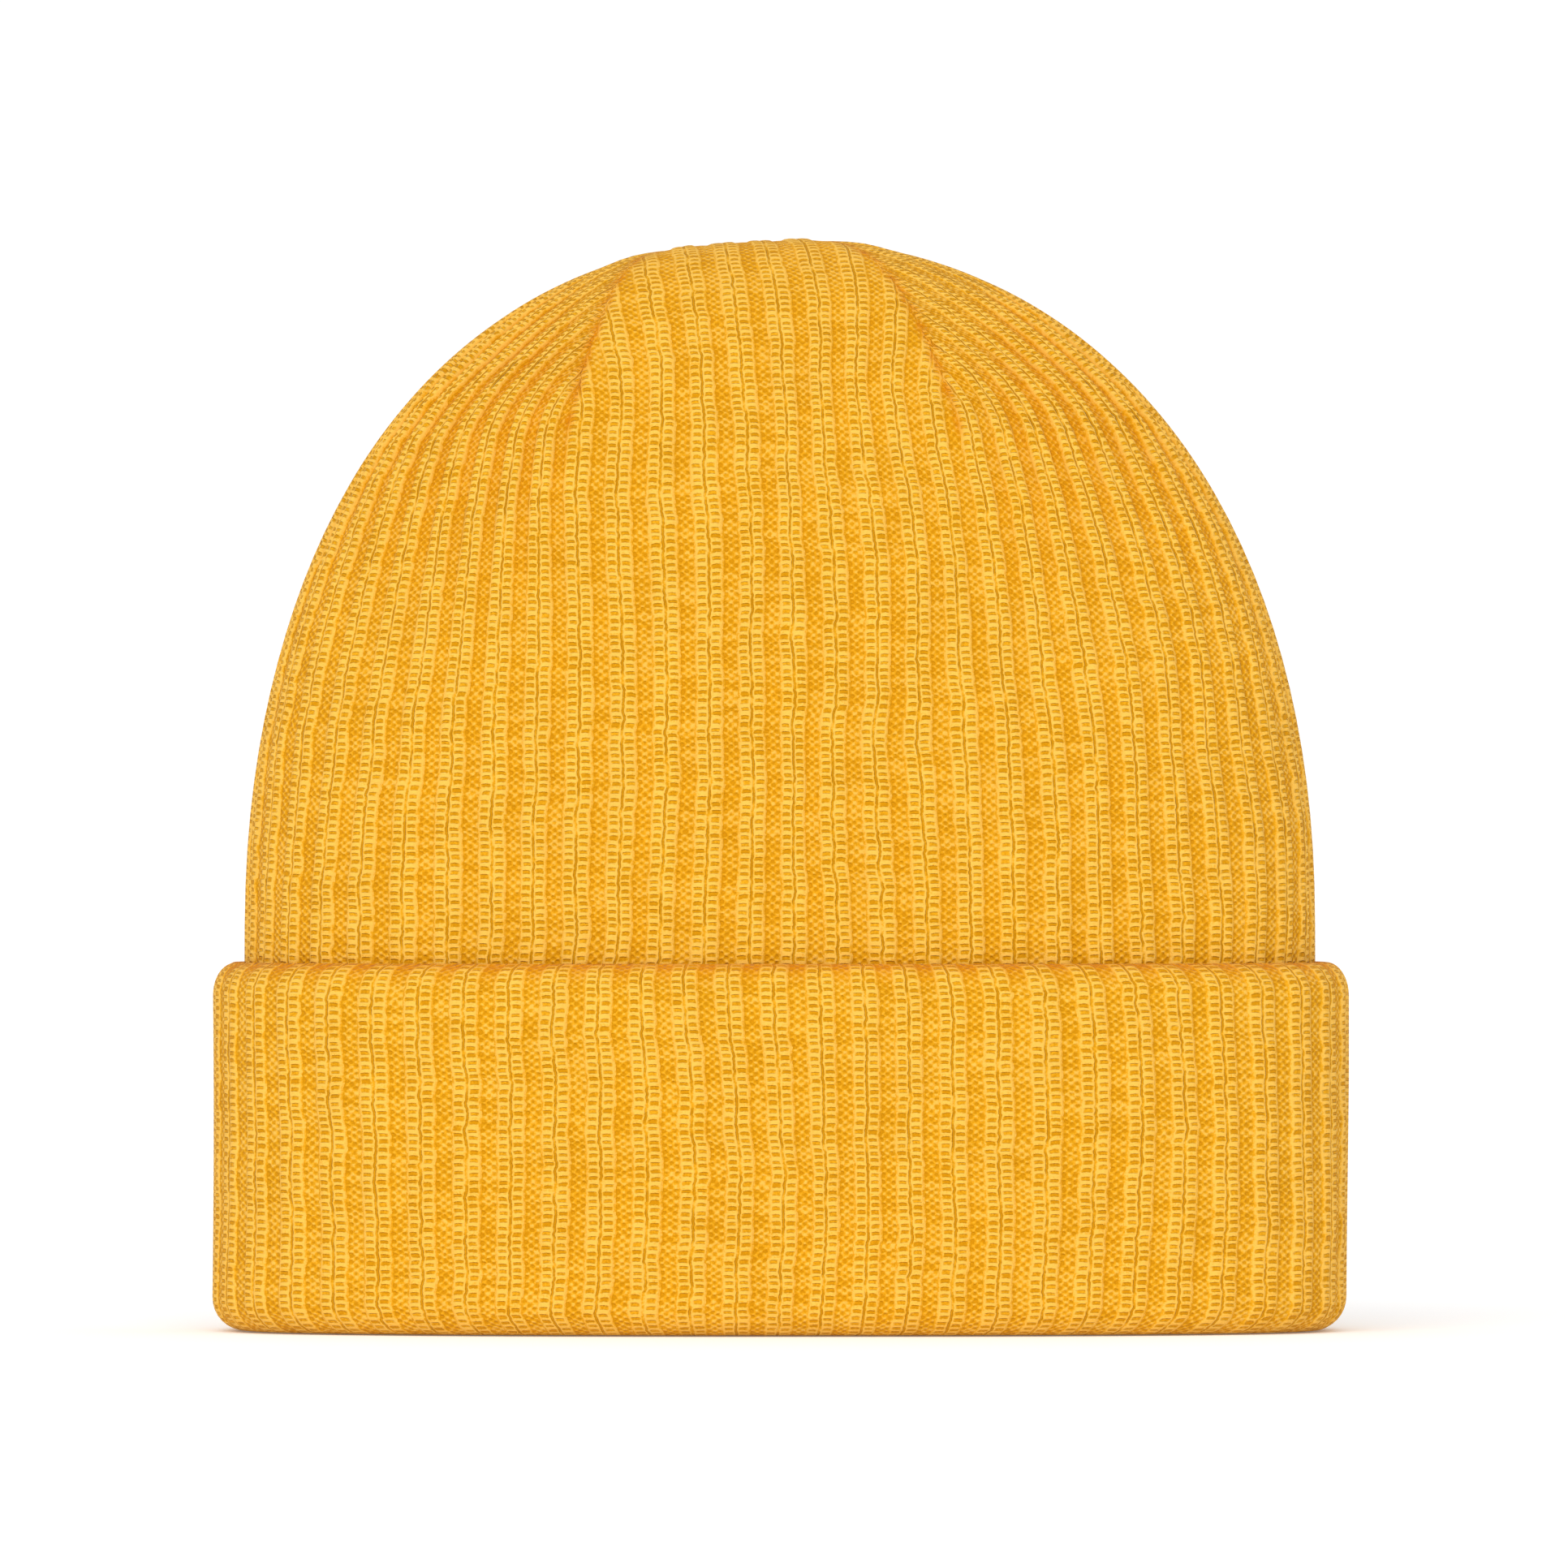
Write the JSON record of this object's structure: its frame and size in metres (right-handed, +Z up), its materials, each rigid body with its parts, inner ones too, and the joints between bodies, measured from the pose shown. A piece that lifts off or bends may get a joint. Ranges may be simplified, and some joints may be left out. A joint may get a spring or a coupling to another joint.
{
  "type": "knit beanie",
  "caption": "Double-layer rib-knit beanie with a domed crown closed by sewn darts, a turned-up double cuff and an open brim.",
  "frame": {"origin": "on the floor under the middle of the open brim, where the hat stands", "axes": "+X across the wide front to the hat's right as seen from the front, -Y out of the front, +Z up to the crown"},
  "size_m": [0.22, 0.105, 0.2109],
  "materials": {
    "shell_knit": "golden yellow rib knit, matte yarn",
    "cuff_knit": "golden yellow rib knit, matte yarn",
    "lining_knit": "golden yellow rib knit, matte yarn, in shade",
    "closing_thread": "dark golden sewing yarn",
    "label_tape": "off-white woven tape, blank"
  },
  "bodies": {
    "hat": {"outer_shell": "shell_knit", "inner_lining": "lining_knit", "crown_tack": "closing_thread", "care_label_stitching": "closing_thread", "shell_dart_seam_front_left": "closing_thread", "shell_dart_seam_front_right": "closing_thread", "shell_dart_seam_back_left": "closing_thread", "shell_dart_seam_back_right": "closing_thread", "lining_dart_seam_front_left": "closing_thread", "lining_dart_seam_front_right": "closing_thread", "lining_dart_seam_back_left": "closing_thread", "lining_dart_seam_back_right": "closing_thread"},
    "cuff": {"turn_up_cuff": "cuff_knit"},
    "label": {"care_label": "label_tape"}
  },
  "joints": [
    {"name": "cuff_turn_down", "type": "slide", "parent": "hat", "child": "cuff", "axis": [0, 0, -1], "range_m": [0, 0.066]},
    {"name": "care_label_swing", "type": "hinge", "parent": "hat", "child": "label", "pos_m": [0, 0.03354, 0.148], "axis": [-1, 0, 0], "range_deg": [0, 70]}
  ]
}
